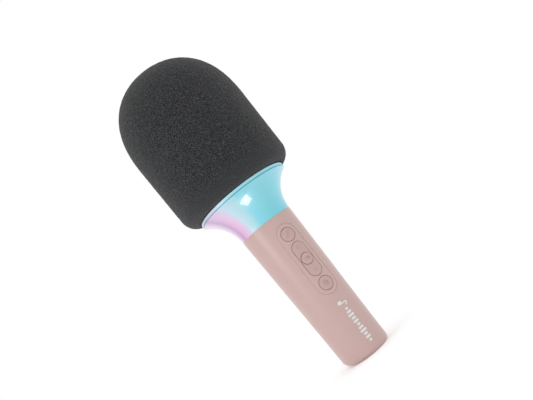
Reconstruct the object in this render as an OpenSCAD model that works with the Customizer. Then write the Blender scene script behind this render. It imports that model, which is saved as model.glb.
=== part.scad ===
// Toy karaoke microphone: a tapered handle with a button panel, a flared light ring,
// a speaker and a microphone capsule in the head, and a pull-off foam windscreen.
// Millimetres. The base of the handle rests on z = 0, and the buttons face -Y.

/* [Handle] */
// Height of the handle, from the base to the light ring
handle_h = 96; // [94:1:130]
// Diameter of the handle at the base
handle_base_d = 31; // [31:0.5:37]
// Diameter of the handle at the light ring
handle_top_d = 35.7; // [35:0.5:44]
// Wall of the handle
handle_wall = 1.8; // [1.2:0.1:2]
// Radius of the base edge
base_edge = 2.8; // [1.5:0.1:3.5]
// Radius of the softer base edge on the -X side
heel_edge = 5.6; // [3.6:0.1:6]

/* [End cap] */
// Diameter of the end cap
cap_d = 19; // [19:0.5:20]
// Thickness of the end cap
cap_t = 1.8; // [1.2:0.1:2.4]
// Thickness of the handle's floor, which the end cap is sunk into
floor_t = 3.6; // [3:0.1:4]
// Distance from the handle's centre to each end cap screw, along X
cap_screw_x = 6; // [5.8:0.1:6.2]

/* [Charging port] */
// Width of the port's metal shell
port_w = 8.94; // [8.94:0.01:9]
// Thickness of the port's metal shell
port_t = 3.26; // [3.16:0.01:3.3]
// Length of the port's metal shell
port_l = 7.3; // [6.5:0.1:8]

/* [Battery cell] */
// Diameter of the cell
cell_d = 18.4; // [14:0.1:18.6]
// Length of the cell
cell_l = 65; // [50:0.5:66]
// Wall of the cradle around the cell
cradle_wall = 1.1; // [0.8:0.1:1.2]

/* [Circuit board] */
// Width of the board
pcb_w = 20; // [19.5:0.1:20.5]
// Thickness of the board
pcb_t = 1.6; // [1:0.1:1.6]
// Distance from the handle's axis to the board's front face
pcb_front = 8.6; // [8.4:0.1:8.8]
// Side of a button switch's body
switch_side = 4.5; // [4:0.1:5]
// Height of a button switch's body
switch_t = 2; // [1.6:0.1:2]
// Diameter of a switch's plunger
plunger_d = 2.4; // [1.8:0.1:2.8]

/* [Buttons] */
// Length of the button panel
panel_l = 49; // [48:0.5:60]
// Width of the button panel
panel_w = 13.3; // [12:0.1:14]
// Distance from the light ring down to the button panel
panel_gap = 6.4; // [5.5:0.1:8]
// Diameter of the effect and power openings
round_hole_d = 8.8; // [8:0.1:9.2]
// Length of the pill-shaped opening
pill_l = 23.6; // [21:0.1:24]
// Width of the pill-shaped opening
pill_w = 8.8; // [8:0.1:9.2]
// Diameter of the play button
play_d = 7; // [6.4:0.1:7.6]
// Distance from the panel's centre to the effect button, and to the power button
round_pitch = 17.6; // [17.5:0.1:18]
// How far a button goes in
button_travel = 0.5; // [0.3:0.05:0.5]
// How far a button stands out of the handle
button_proud = 0.15; // [0.1:0.05:0.6]
// How far the play button stands out
play_proud = 0.6; // [0.3:0.05:0.9]

/* [Light ring] */
// Height of the light ring, from the handle to its rim
ring_h = 24.5; // [24:0.5:30]
// Diameter of the rim
rim_d = 62.5; // [61:0.5:70]
// Height of the rim's upright band
rim_band = 2.4; // [2:0.1:3]
// Wall of the light ring
ring_wall = 2; // [1.5:0.1:2.1]
// Length of the spigot that goes down into the handle
spigot_l = 5; // [3:0.5:5.5]

/* [Head] */
// Diameter of the foam windscreen
foam_d = 81; // [74:0.5:96]
// Height of the foam windscreen
foam_h = 97.2; // [88:0.5:112]
// Height of the windscreen's domed top
dome_h = 46; // [36:0.5:50]
// Squareness of the dome: 2 is an ellipse
dome_power = 2.35; // [2:0.05:2.6]
// Height of the windscreen's rounded lower edge
foam_edge = 9; // [6:0.5:12]
// Draft of the windscreen's side, smaller towards the rim
foam_draft = 1.1; // [0:0.1:2]
// Wall of the grille basket
grille_wall = 0.8; // [0.5:0.1:1]
// Foam between the top of the grille and the top of the windscreen
foam_crown = 10; // [8:0.5:14]
// Height of the grille's collar
collar_h = 5; // [4:0.5:8]

/* [Loudspeaker] */
// Diameter of the loudspeaker's flange
speaker_d = 42; // [41.5:0.5:43]
// Depth of the loudspeaker's basket, under its flange
basket_h = 6.6; // [6:0.1:7]
// Diameter of the magnet
magnet_d = 23; // [18:0.5:23]
// Thickness of the magnet
magnet_t = 5.5; // [4:0.1:5.8]
// Distance from the axis to each loudspeaker screw
speaker_screw_r = 19; // [18.9:0.1:19.1]

/* [Microphone capsule] */
// Diameter of the capsule
capsule_d = 9.7; // [6:0.1:9.8]
// Height of the capsule
capsule_h = 6.5; // [4:0.1:7]
// Height of the capsule's holder above the loudspeaker deck
stand_h = 38; // [30:0.5:46]

/* [Light board] */
// Number of lights
led_count = 12; // [6:1:14]
// Side of a light
led_side = 3.5; // [2.8:0.1:3.5]

/* [Hidden] */
$fn = 96;

// Clearances
seam = 0.12;         // between two fixed pieces whose joint shows
button_gap = 0.2;    // around a button in its opening
slip = 0.3;          // between pieces that only lie near each other
soft_gap = 0.4;      // between the foam and the grille
running = 0.06;      // radial, between a plunger and its switch
grille_step = 0.45;  // from the rim's outside in to the grille's
screw_gap = 0.1;     // radial, around a screw's shank
port_gap = 0.2;      // around the charging port in the end cap

// Heights
rim_z = handle_h + ring_h;
foam_z = rim_z + slip;
top_z = foam_z + foam_h;
dome_z = top_z - dome_h;
panel_z = handle_h - panel_gap - panel_l / 2;
effect_z = panel_z + round_pitch;
power_z = panel_z - round_pitch;
volume_pitch = (play_d + pill_l) / 4;

// Handle
base_r = handle_base_d / 2;
top_r = handle_top_d / 2;
function handle_r(z) = base_r + (top_r - base_r) * (z - base_edge) / (handle_h - base_edge);
heel_shift = heel_edge - base_edge;
heel_lap = 0.07; // keeps the heel's arc just outside the handle's side where they meet
cap_r = cap_d / 2;
lip_r = cap_r - 0.9;

// Screws: the end cap's and the board's
cap_shank_r = 0.95;
cap_head_r = 1.95;
board_shank_r = 0.8;
board_head_r = 1.55;
slot_w = 0.35;

// Board and cell, front to back
pcb_back = pcb_front - pcb_t;
pcb_z0 = floor_t + 1.6;
pcb_top = handle_h - 4;
cell_y = cell_d / 2 - pcb_back + 1;
tab_t = 0.3;
tab_hole_r = 2.2;
cell_z0 = 17;
cell_top = cell_z0 + cell_l;
block_h = 5;
low_block_z = cell_z0 - 0.8 - block_h;
high_block_z = cell_top + 0.8;
board_screw_x = 8.2;
board_screw_zs = [low_block_z + block_h / 2, high_block_z + block_h / 2];
cap_screw_y = 2.5;
port_y = -pcb_back + port_t / 2;
port_z0 = 0.6;
port_wall = 0.3;
tongue_w = 6.6;
tongue_t = 0.7;

// Buttons, front to back
panel_back = 12;
flange_margin = 0.5;
panel_flange = 1.2;
flange_t = 0.7;
flange_front = panel_back - 0.05;
flange_back = flange_front - flange_t;
plunger_foot = pcb_front + button_travel + 0.3;
button_zs = [effect_z, panel_z + volume_pitch, panel_z, panel_z - volume_pitch, power_z];

// Light ring
rim_r = rim_d / 2;
grille_r = rim_r - grille_step;
flare_top = rim_z - rim_band;
flare_rise = flare_top - handle_h;
flare_run = rim_r - top_r;
flare_r = (flare_rise * flare_rise + flare_run * flare_run) / (2 * flare_run);
flare_cx = top_r + flare_r;
function flare_out(z) = flare_cx - sqrt(flare_r * flare_r - pow(z - handle_h, 2));
function flare_in(z) = flare_cx - sqrt(pow(flare_r + ring_wall, 2) - pow(z - handle_h, 2));
spigot_r = handle_r(handle_h - spigot_l) - handle_wall - seam;
spigot_bore = spigot_r - 1.5;
led_z = handle_h + 4.2;
led_board_t = 1.6;
led_board_bore = 8.8;
led_t = 1.4;
shelf_z = rim_z - 3;
shelf_wall = 0.76;
rim_bore = flare_out(shelf_z) - shelf_wall;

// Deck and loudspeaker
deck_z = shelf_z + 0.1;
deck_t = 2;
deck_top = deck_z + deck_t;
deck_r = rim_bore - 0.2;
screw_boss_r = 1.5;
screw_boss_l = 2;
basket_r = speaker_screw_r - screw_boss_r - 0.7;
deck_bore = basket_r + 0.3;
upstand_r = deck_r;
collar_z = rim_z + slip;
collar_top = collar_z + collar_h;
flange_h = 1.2;
frame_z = deck_top - basket_h;
magnet_z = frame_z - magnet_t;
back_plate_t = 1;
cup_z = led_z + led_board_t + led_t + 0.2;
cup_r = 13;
cup_top_r = 23.6;
cup_wall = 1.2;
coil_r = 6.4;
speaker_shank_r = 0.75;
speaker_shank_l = 4.4;
wire_hole_r = 25;
wire_hole_a = 225;
wire_hole_bore = 1.1;
stand_pin_r = 1.2;

// Capsule and stand
stand_z = deck_top + stand_h;
hub_r = 8.6;
hub_h = 7;
holder_r = hub_r - 1.5;
stand_foot_r = 25;
leg_r = 1.4;
capsule_z = stand_z + 1.8;

// Foam and grille
foam_r = foam_d / 2;
grille_dome = dome_h - foam_crown;
foam_bore = grille_r + soft_gap;

function arc(cx, cz, r, a0, a1, n) = [
    for (i = [0 : n]) let (a = a0 + (a1 - a0) * i / n) [cx + r * cos(a), cz + r * sin(a)]
];

// A quarter of a rounded dome: radius a, height b, from its foot at z0 up to the axis
function dome(a, b, z0, p, n) = [
    for (i = [0 : n]) let (t = 90 * i / n)
        [a * pow(cos(t), 2 / p), z0 + b * pow(sin(t), 2 / p)]
];

module turn(points) {
    rotate_extrude() polygon(points);
}

// A round prism along Y: from y = -far to y = -near, centred at height z
module front_rod(r, z, near, far) {
    translate([0, -near, z]) rotate([90, 0, 0]) cylinder(r = r, h = far - near);
}

module pill(l, w) {
    square([w, l - w], center = true);
    for (s = [-1, 1]) translate([0, s * (l - w) / 2]) circle(d = w);
}

module port_outline(grow) {
    rotate(90) pill(port_w + 2 * grow, port_t + 2 * grow);
}

module front_prism(z, near, far) {
    translate([0, -near, z]) rotate([90, 0, 0]) linear_extrude(far - near) children();
}

module ring_of(n, r, first = 0) {
    for (i = [0 : n - 1]) rotate([0, 0, first + 360 * i / n]) translate([r, 0, 0]) children();
}

module tapered(grow, z0, z1) {
    translate([0, 0, z0])
        cylinder(r1 = handle_r(z0) + grow, r2 = handle_r(z1) + grow, h = z1 - z0);
}

// A wire along a smooth curve through points chosen by hand
wire_r = 0.38;
wire_sides = 8;
function spline(a, b, c, d, t) = 0.5 * (2 * b + (c - a) * t + (2 * a - 5 * b + 4 * c - d) * t * t
    + (3 * b - a - 3 * c + d) * t * t * t);
function wire_path(p, steps) = let (last = len(p) - 1) concat([
    for (i = [0 : last - 1], s = [0 : steps - 1])
        spline(p[max(i - 1, 0)], p[i], p[i + 1], p[min(i + 2, last)], s / steps)
], [p[last]]);
function unit(v) = v / norm(v);
function wire_ring(c, dir) = let (
    side = abs(unit(dir)[2]) > 0.8 ? [1, 0, 0] : [0, 0, 1],
    u = unit(cross(dir, side)),
    v = unit(cross(dir, u))
) [for (k = [0 : wire_sides - 1]) let (a = 360 * k / wire_sides) c + wire_r * (u * cos(a) + v * sin(a))];

module wire(points, steps = 3) {
    path = wire_path(points, steps);
    n = len(path);
    rings = [
        for (i = [0 : n - 1]) wire_ring(path[i], path[min(i + 1, n - 1)] - path[max(i - 1, 0)])
    ];
    // Each ring starts at the corner nearest to the last ring's first corner
    function nearest(ring, to, k = 0, best = 0) = k == wire_sides ? best
        : nearest(ring, to, k + 1, norm(ring[k] - to) < norm(ring[best] - to) ? k : best);
    function aligned(i) = i == 0 ? [rings[0]]
        : let (done = aligned(i - 1), s = nearest(rings[i], done[i - 1][0]))
            concat(done, [[for (k = [0 : wire_sides - 1]) rings[i][(k + s) % wire_sides]]]);
    tube = aligned(n - 1);
    polyhedron(
        points = [for (ring = tube, c = ring) c],
        faces = concat(
            [[for (k = [0 : wire_sides - 1]) k]],
            [for (i = [0 : n - 2], k = [0 : wire_sides - 1]) let (m = (k + 1) % wire_sides)
                [i * wire_sides + m, i * wire_sides + k,
                 (i + 1) * wire_sides + k, (i + 1) * wire_sides + m]],
            [[for (k = [wire_sides - 1 : -1 : 0]) (n - 1) * wire_sides + k]]
        )
    );
}

// ---------------------------------------------------------------- handle

module handle_body() {
    intersection() {
        turn(concat([[0, 0]], arc(base_r - base_edge, base_edge, base_edge, -90, 0, 9),
            [[top_r, handle_h], [0, handle_h]]));
        heel_r = handle_r(heel_edge) + heel_shift + heel_lap;
        translate([heel_shift, 0, 0])
            turn(concat([[0, 0]], arc(heel_r - heel_edge, heel_edge, heel_edge, -90, 0, 9),
                [[heel_r + 6, handle_h], [0, handle_h]]));
    }
}

module handle_shell() {
    color([0.78, 0.66, 0.65])
    difference() {
        handle_body();
        tapered(-handle_wall, floor_t, handle_h + 1);
        translate([0, 0, -1]) cylinder(r = cap_r + seam, h = cap_t + 1.05);
        cylinder(r = lip_r, h = floor_t + 1);
        front_prism(panel_z, 2, top_r + 5) pill(panel_l + 2 * seam, panel_w + 2 * seam);
    }
}

module end_cap() {
    color([0.74, 0.62, 0.61])
    difference() {
        cylinder(r = cap_r, h = cap_t);
        for (s = [-1, 1]) translate([s * cap_screw_x, cap_screw_y, 0]) {
            translate([0, 0, -1]) cylinder(r = cap_shank_r + 0.15, h = cap_t + 2);
            translate([0, 0, -0.01]) cylinder(r1 = cap_head_r + 0.15, r2 = cap_shank_r + 0.15, h = 1);
        }
        translate([0, port_y, -1]) linear_extrude(cap_t + 2) port_outline(port_gap);
    }
}

module end_cap_screws() {
    color([0.7, 0.7, 0.72])
    for (s = [-1, 1]) translate([s * cap_screw_x, cap_screw_y, 0]) difference() {
        union() {
            translate([0, 0, 0.1]) cylinder(r1 = cap_head_r, r2 = cap_shank_r, h = 1);
            translate([0, 0, 0.2]) cylinder(r = cap_shank_r, h = cap_t + 4.4);
        }
        cross_slot(1.1, slot_w, 0.5);
    }
}

// The cross-shaped recess in a screw's head
module cross_slot(r, w, depth) {
    for (a = [0, 90]) rotate([0, 0, a]) translate([-r, -w / 2, -0.1]) cube([2 * r, w, depth + 0.1]);
}

// ---------------------------------------------------------------- buttons

module panel_openings(extra) {
    for (z = [-round_pitch, round_pitch]) translate([0, z]) circle(d = round_hole_d + 2 * extra);
    pill(pill_l + 2 * extra, pill_w + 2 * extra);
}

module button_panel() {
    color([0.77, 0.65, 0.64])
    difference() {
        union() {
            intersection() {
                tapered(0, pcb_z0, handle_h);
                front_prism(panel_z, panel_back, top_r + 5) pill(panel_l, panel_w);
            }
            intersection() {
                tapered(-handle_wall - seam, pcb_z0, handle_h - spigot_l - seam);
                front_prism(panel_z, panel_back, top_r + 5) 
                    pill(panel_l + 2 * panel_flange, panel_w + 2 * panel_flange);
            }
        }
        front_prism(panel_z, panel_back - 1, top_r + 5) panel_openings(0);
    }
}

// A button: a cap shaped by the 2D children, with the handle's own curve on its face
module button_cap(proud) {
    intersection() {
        tapered(proud, pcb_z0, handle_h);
        front_prism(panel_z, flange_back, top_r + 5) children();
    }
}

module button_flange() {
    front_prism(panel_z, flange_back, flange_front) children();
}

module round_button(dz) {
    button_cap(button_proud) translate([0, dz]) circle(d = round_hole_d - 2 * button_gap);
    button_flange() translate([0, dz]) circle(d = round_hole_d + 2 * flange_margin);
}

// Half of the pill, with a hollow end around the play button. up is 1 or -1
module volume_outline(up, grow, hollow_d) {
    difference() {
        pill(pill_l + 2 * grow, pill_w + 2 * grow);
        translate([-pill_w, up > 0 ? -pill_l : 0]) square([2 * pill_w, pill_l]);
        circle(d = hollow_d);
        translate([-pill_w, -button_gap / 2]) square([2 * pill_w, button_gap]);
    }
}

module volume_button(up) {
    button_cap(button_proud) volume_outline(up, -button_gap, play_d + 2 * button_gap);
    button_flange() volume_outline(up, flange_margin, play_d + 4 * button_gap);
}

module effect_button() {
    color([0.77, 0.65, 0.64]) round_button(round_pitch);
}

module power_button() {
    color([0.77, 0.65, 0.64]) round_button(-round_pitch);
}

module play_button() {
    color([0.77, 0.65, 0.64]) button_cap(play_proud) circle(d = play_d);
}

module volume_up_button() {
    color([0.77, 0.65, 0.64]) volume_button(1);
}

module volume_down_button() {
    color([0.77, 0.65, 0.64]) volume_button(-1);
}

module plunger(z) {
    color([0.1, 0.1, 0.11]) front_rod(plunger_d / 2, z, plunger_foot, flange_back);
}

module effect_plunger() plunger(button_zs[0]);
module volume_up_plunger() plunger(button_zs[1]);
module play_plunger() plunger(button_zs[2]);
module volume_down_plunger() plunger(button_zs[3]);
module power_plunger() plunger(button_zs[4]);

module button_switches() {
    color([0.2, 0.2, 0.22])
    for (z = button_zs) difference() {
        translate([-switch_side / 2, -pcb_front - switch_t, z - switch_side / 2])
            cube([switch_side, switch_t, switch_side]);
        front_rod(plunger_d / 2 + running, z, pcb_front + 0.2, pcb_front + switch_t + 1);
    }
}

// ---------------------------------------------------------------- board and battery

module on_front(x, z, w, h, t) {
    translate([x - w / 2, -pcb_front - t, z - h / 2]) cube([w, t, h]);
}

module main_board() {
    color([0.1, 0.35, 0.2])
    difference() {
        translate([-pcb_w / 2, -pcb_front, pcb_z0]) cube([pcb_w, pcb_t, pcb_top - pcb_z0]);
        for (s = [-1, 1], z = board_screw_zs)
            translate([s * board_screw_x, 0, 0])
                front_rod(board_shank_r + 0.3, z, pcb_back - 1, pcb_front + 1);
    }
}

module board_screws() {
    color([0.7, 0.7, 0.72])
    for (s = [-1, 1], z = board_screw_zs) translate([s * board_screw_x, 0, 0]) difference() {
        union() {
            front_rod(board_head_r, z, pcb_front, pcb_front + 1.1);
            front_rod(board_shank_r, z, pcb_back - 4, pcb_front + 0.5);
        }
        translate([0, -pcb_front - 1.1, z]) rotate([-90, 0, 0]) cross_slot(1, slot_w, 0.6);
    }
}

// The low part of the board, under the buttons, holds the chips
chip_z = pcb_z0 + 20;

module bluetooth_chip() {
    color([0.08, 0.08, 0.09]) on_front(0, chip_z + 4, 6, 6, 0.9);
}

module amplifier_chip() {
    color([0.08, 0.08, 0.09]) on_front(-3.1, chip_z - 6, 3, 5, 1.5);
}

module charger_chip() {
    color([0.08, 0.08, 0.09]) on_front(3.2, chip_z - 6.5, 2.8, 3, 1.4);
}

module small_capacitors() {
    color([0.7, 0.6, 0.45]) {
        for (i = [0 : 3]) on_front(-4, chip_z + 1.2 + 2 * i, 1.2, 0.8, 0.8);
        for (i = [0 : 3]) on_front(4, chip_z + 1.2 + 2 * i, 1.2, 0.8, 0.8);
        for (i = [0 : 2]) on_front(-2 + 2 * i, chip_z - 1.2, 0.8, 1.6, 0.8);
    }
}

module electrolytic_capacitors() {
    color([0.75, 0.75, 0.78])
    for (x = [-2.4, 2.4]) translate([x, 0, 0]) front_rod(2, chip_z - 13.6, pcb_front, pcb_front + 3.6);
}

module power_coil() {
    color([0.3, 0.3, 0.32]) on_front(0.1, chip_z - 6.5, 2.8, 3, 1.9);
}

socket_w = 2.8;
socket_h = 4.6;
socket_t = 2;
socket_x = 6.2;
high_socket_z = chip_z + 2.4;
low_socket_z = chip_z - 5.4;

module wire_sockets() {
    color([0.93, 0.91, 0.84])
    for (s = [-1, 1], z = [low_socket_z, high_socket_z])
        on_front(s * socket_x, z, socket_w, socket_h, socket_t);
}

module usb_port() {
    color([0.75, 0.75, 0.77])
    translate([0, port_y, port_z0]) difference() {
        linear_extrude(port_l) port_outline(0);
        translate([0, 0, -1]) linear_extrude(port_l) port_outline(-port_wall);
    }
}

module port_tongue() {
    color([0.1, 0.1, 0.1])
    translate([-tongue_w / 2, port_y - tongue_t / 2, port_z0 + 0.8]) cube([tongue_w, tongue_t, port_l - 1.8]);
}

module battery_cell() {
    color([0.25, 0.5, 0.75]) translate([0, cell_y, cell_z0]) union() {
        cylinder(d = cell_d, h = cell_l - 1);
        cylinder(d = cell_d * 0.45, h = cell_l);
    }
}

module cell_tabs() {
    color([0.8, 0.8, 0.78]) for (z = [cell_z0 - tab_t, cell_top])
        translate([-2.5, cell_y - 7, z]) cube([5, 11, tab_t]);
}

module inner_slab(z0, h) {
    intersection() {
        tapered(-handle_wall - slip, z0, z0 + h);
        translate([-50, -pcb_back, z0 - 1]) cube([100, 100, h + 2]);
    }
}

module battery_cradle() {
    color([0.9, 0.9, 0.88])
    difference() {
        union() {
            inner_slab(low_block_z, block_h);
            inner_slab(high_block_z, block_h);
            intersection() {
                translate([0, cell_y, low_block_z + 1])
                    cylinder(d = cell_d + 2 * slip + 2 * cradle_wall, h = high_block_z - low_block_z);
                translate([-50, cell_y, 0]) cube([100, 50, handle_h]);
                tapered(-handle_wall - seam, 1, handle_h);
            }
            for (s = [-1, 1]) translate([s * cap_screw_x, cap_screw_y, floor_t + 0.1])
                cylinder(r = 2, h = low_block_z - floor_t);
        }
        translate([0, cell_y, low_block_z + block_h])
            cylinder(d = cell_d + 2 * slip, h = high_block_z - low_block_z - block_h);
        for (s = [-1, 1], z = board_screw_zs)
            translate([s * board_screw_x, 0, 0])
                front_rod(board_shank_r + screw_gap, z, pcb_back - 5, pcb_back + 1);
        for (s = [-1, 1]) translate([s * cap_screw_x, cap_screw_y, 0])
            cylinder(r = cap_shank_r + screw_gap, h = cap_t + 5.2);
        for (z = [low_block_z, high_block_z])
            translate([0, cell_y - 7, z - 1]) cylinder(r = tab_hole_r, h = block_h + 2);
    }
}

// ---------------------------------------------------------------- light ring

module light_ring() {
    color([0.62, 0.85, 0.9])
    difference() {
        union() {
            cylinder_between(spigot_r, handle_h - spigot_l, handle_h);
            difference() {
                cylinder_between(rim_r, handle_h, rim_z);
                rotate_extrude() intersection() {
                    translate([flare_cx, handle_h]) circle(r = flare_r, $fn = 180);
                    translate([0, handle_h - 1]) square([rim_r + 10, flare_rise + 1]);
                }
            }
        }
        cylinder_between(spigot_bore, handle_h - spigot_l - 1, led_z);
        difference() {
            cylinder_between(flare_in(shelf_z), led_z, shelf_z + 1);
            rotate_extrude() translate([flare_cx, handle_h]) circle(r = flare_r + ring_wall, $fn = 180);
        }
        cylinder_between(rim_bore, shelf_z, rim_z + 1);
        // The fine groove under the rim
        rotate_extrude() translate([rim_r, flare_top + 0.2]) square([0.5, 0.3], center = true);
    }
}

module cylinder_between(r, z0, z1) {
    translate([0, 0, z0]) cylinder(r = r, h = z1 - z0);
}

module led_board() {
    color([0.93, 0.93, 0.9])
    difference() {
        cylinder_between(flare_in(led_z) - slip, led_z + 0.02, led_z + led_board_t);
        cylinder_between(led_board_bore, led_z - 1, led_z + led_board_t + 1);
    }
}

module ring_leds() {
    color([1, 1, 0.85])
    ring_of(led_count, flare_in(led_z) - slip - led_side / 2 - 0.2)
        translate([-led_side / 2, -led_side / 2, led_z + led_board_t + 0.01])
            cube([led_side, led_side, led_t]);
}

// ---------------------------------------------------------------- head

module speaker_back_cup() {
    color([0.95, 0.95, 0.95])
    difference() {
        turn([[0, cup_z], [cup_r, cup_z], [cup_top_r, deck_z - 0.05], [0, deck_z - 0.05]]);
        turn([[0, cup_z + cup_wall], [cup_r - 0.6, cup_z + cup_wall],
              [cup_top_r - cup_wall, deck_z], [cup_top_r - cup_wall, deck_z + 1], [0, deck_z + 1]]);
        translate([3.7, -9.6, cup_z - 1]) cylinder(r = 2.2, h = cup_wall + 2);
    }
}

module speaker_deck() {
    color([0.16, 0.16, 0.17])
    difference() {
        union() {
            cylinder_between(deck_r, deck_z, deck_top);
            cylinder_between(upstand_r, deck_top - 0.5, collar_top - 0.5);
            ring_of(4, speaker_screw_r, 45)
                cylinder_between(screw_boss_r, deck_z - screw_boss_l, deck_top);
        }
        cylinder_between(upstand_r - 1.6, deck_top, collar_top + 1);
        cylinder_between(deck_bore, deck_z - 1, deck_top + 1);
        ring_of(4, speaker_screw_r, 45)
            cylinder_between(speaker_shank_r + screw_gap, deck_z - screw_boss_l + 0.4, deck_top + 1);
        ring_of(3, stand_foot_r, 90) cylinder_between(stand_pin_r + screw_gap, deck_z - 1, deck_top + 1);
        ring_of(1, wire_hole_r, wire_hole_a) cylinder_between(wire_hole_bore, deck_z - 1, deck_top + 1);
    }
}

// The loudspeaker faces up
module speaker_frame() {
    color([0.3, 0.3, 0.32])
    difference() {
        union() {
            cylinder_between(speaker_d / 2, deck_top, deck_top + flange_h);
            turn([[0, frame_z], [magnet_d / 2 + 0.4, frame_z], [basket_r, deck_top + 0.1],
                [0, deck_top + 0.1]]);
        }
        turn([[0, frame_z + 1], [magnet_d / 2 - 0.6, frame_z + 1], [basket_r - 0.8, deck_top],
              [basket_r - 0.8, deck_top + 5], [0, deck_top + 5]]);
        cylinder_between(coil_r + 0.8, frame_z - 1, frame_z + 2);
        ring_of(4, speaker_screw_r, 45)
            cylinder_between(speaker_shank_r + 2 * screw_gap, deck_top - 1, deck_top + 3);
    }
}

module speaker_screws() {
    color([0.7, 0.7, 0.72])
    ring_of(4, speaker_screw_r, 45) translate([0, 0, deck_top + flange_h]) difference() {
        union() {
            cylinder(r = 1.4, h = 1);
            translate([0, 0, -speaker_shank_l]) cylinder(r = speaker_shank_r, h = speaker_shank_l + 0.5);
        }
        translate([0, 0, 1]) mirror([0, 0, 1]) cross_slot(0.9, slot_w, 0.5);
    }
}

module speaker_gasket() {
    color([0.12, 0.12, 0.12])
    difference() {
        cylinder_between(speaker_screw_r - 1.6, deck_top + flange_h, deck_top + flange_h + 0.8);
        cylinder_between(basket_r - 0.6, deck_top, deck_top + 5);
    }
}

cone_r = basket_r - 3.6;
module speaker_surround() {
    color([0.1, 0.1, 0.1])
    turn(concat(
        [[basket_r - 0.9, deck_top + 0.4], [basket_r - 0.9, deck_top + 0.8]],
        arc((basket_r + cone_r - 0.9) / 2, deck_top + 0.8, (basket_r - cone_r - 2) / 2, 0, 180, 8),
        [[cone_r + 0.1, deck_top + 0.8], [cone_r + 0.1, deck_top + 0.4]],
        arc((basket_r + cone_r - 0.9) / 2, deck_top + 0.5, (basket_r - cone_r - 2.8) / 2, 180, 0, 8)
    ));
}

module speaker_cone() {
    color([0.2, 0.2, 0.21])
    turn([[coil_r + 0.6, deck_top - 3.6], [coil_r + 0.6, deck_top - 3.1], [cone_r, deck_top + 0.8],
          [cone_r, deck_top + 0.3]]);
}

module dust_cap() {
    color([0.14, 0.14, 0.15])
    turn(concat(dome(coil_r, 2.2, deck_top - 3.6, 2, 8),
        [for (i = [8 : -1 : 0]) dome(coil_r - 0.4, 1.8, deck_top - 3.6, 2, 8)[i]]));
}

module voice_coil() {
    color([0.75, 0.45, 0.2])
    difference() {
        cylinder_between(coil_r + 0.5, frame_z + 0.6, deck_top - 3.7);
        cylinder_between(coil_r, frame_z, deck_top);
    }
}

module speaker_magnet() {
    color([0.25, 0.25, 0.27])
    difference() {
        cylinder_between(magnet_d / 2, magnet_z + back_plate_t, frame_z);
        cylinder_between(coil_r + 0.9, magnet_z, frame_z + 1);
    }
}

module magnet_back_plate() {
    color([0.65, 0.65, 0.67]) union() {
        cylinder_between(magnet_d / 2 - 0.5, magnet_z, magnet_z + back_plate_t);
        cylinder_between(coil_r - 0.4, magnet_z, frame_z + 0.8);
    }
}

module capsule_stand() {
    rise = stand_z - deck_top - 1;
    run = stand_foot_r - hub_r + 0.6;
    lean = atan(run / rise);
    color([0.16, 0.16, 0.17])
    difference() {
        union() {
            cylinder_between(hub_r, stand_z, stand_z + hub_h);
            ring_of(3, stand_foot_r, 90) {
                cylinder_between(2.6, deck_top + 0.02, deck_top + 2);
                cylinder_between(stand_pin_r, deck_z + 0.2, deck_top + 1);
                translate([0, 0, deck_top + 1]) rotate([0, -lean, 0])
                    cylinder(r = leg_r, h = norm([run, rise]) + 3);
            }
        }
        cylinder_between(holder_r, stand_z - 1, stand_z + hub_h + 4);
    }
}

module capsule_holder() {
    color([0.1, 0.1, 0.1])
    difference() {
        union() {
            cylinder_between(holder_r - 0.02, stand_z, stand_z + hub_h + 1.2);
            cylinder_between(holder_r + 0.8, stand_z + hub_h + 0.1, stand_z + hub_h + 1.2);
        }
        cylinder_between(capsule_d / 2 + 0.02, capsule_z, stand_z + hub_h + 2);
        cylinder_between(2, stand_z - 1, stand_z + hub_h);
    }
}

module mic_capsule() {
    color([0.75, 0.75, 0.77])
    difference() {
        cylinder_between(capsule_d / 2, capsule_z + 0.02, capsule_z + capsule_h);
        cylinder_between(capsule_d / 2 - 1.2, capsule_z + capsule_h - 0.4, capsule_z + capsule_h + 1);
    }
}

module grille_collar() {
    color([0.2, 0.2, 0.21])
    difference() {
        cylinder_between(grille_r, collar_z, collar_top);
        cylinder_between(upstand_r + seam, collar_z - 1, collar_top + 1);
    }
}

module grille_basket() {
    color([0.3, 0.3, 0.32])
    turn(concat(
        [[grille_r, collar_top + 0.02]],
        dome(grille_r, grille_dome, dome_z, dome_power, 16),
        [for (i = [16 : -1 : 0])
            dome(grille_r - grille_wall, grille_dome - grille_wall, dome_z, dome_power, 16)[i]],
        [[grille_r - grille_wall, collar_top + 0.02]]
    ));
}

module foam_windscreen() {
    color([0.22, 0.22, 0.23])
    turn(concat(
        [[foam_bore, foam_z]],
        [for (p = arc(0, 0, 1, -90, 0, 8))
            [foam_bore + (foam_r - foam_draft - foam_bore) * p[0], foam_z + foam_edge * (1 + p[1])]],
        dome(foam_r, dome_h, dome_z, dome_power, 20),
        [for (i = [16 : -1 : 0])
            dome(foam_bore, grille_dome + soft_gap, dome_z, dome_power, 16)[i]]
    ));
}

// ---------------------------------------------------------------- wires

wire_pitch = 1.1;
socket_wire_y = -pcb_front - socket_t / 2;
socket_top = high_socket_z + socket_h / 2;
run_x = 5.15;
run_y = -pcb_front - 0.7;
neck_z = handle_h - 1;
under_cup_z = cup_z - 0.8;
terminal_r = 14;

// The stretch that two wires share, from a socket up the front of the board. side is 1 or -1
function board_run(side, i) = let (x = side * (run_x + i * wire_pitch)) [
    [x, socket_wire_y, socket_top],
    [x, socket_wire_y, socket_top + 1.4],
    [x, run_y, socket_top + 5],
    [x, run_y, panel_z],
    [x, run_y, pcb_top - 4],
    [x, run_y, pcb_top]
];

// A point on the microphone wires' way up, at a distance from the axis. i is 0 or 1
function beside(r, z, i) = let (a = wire_hole_a, off = (0.5 - i) * wire_pitch)
    [r * cos(a) - off * sin(a), r * sin(a) + off * cos(a), z];

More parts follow.
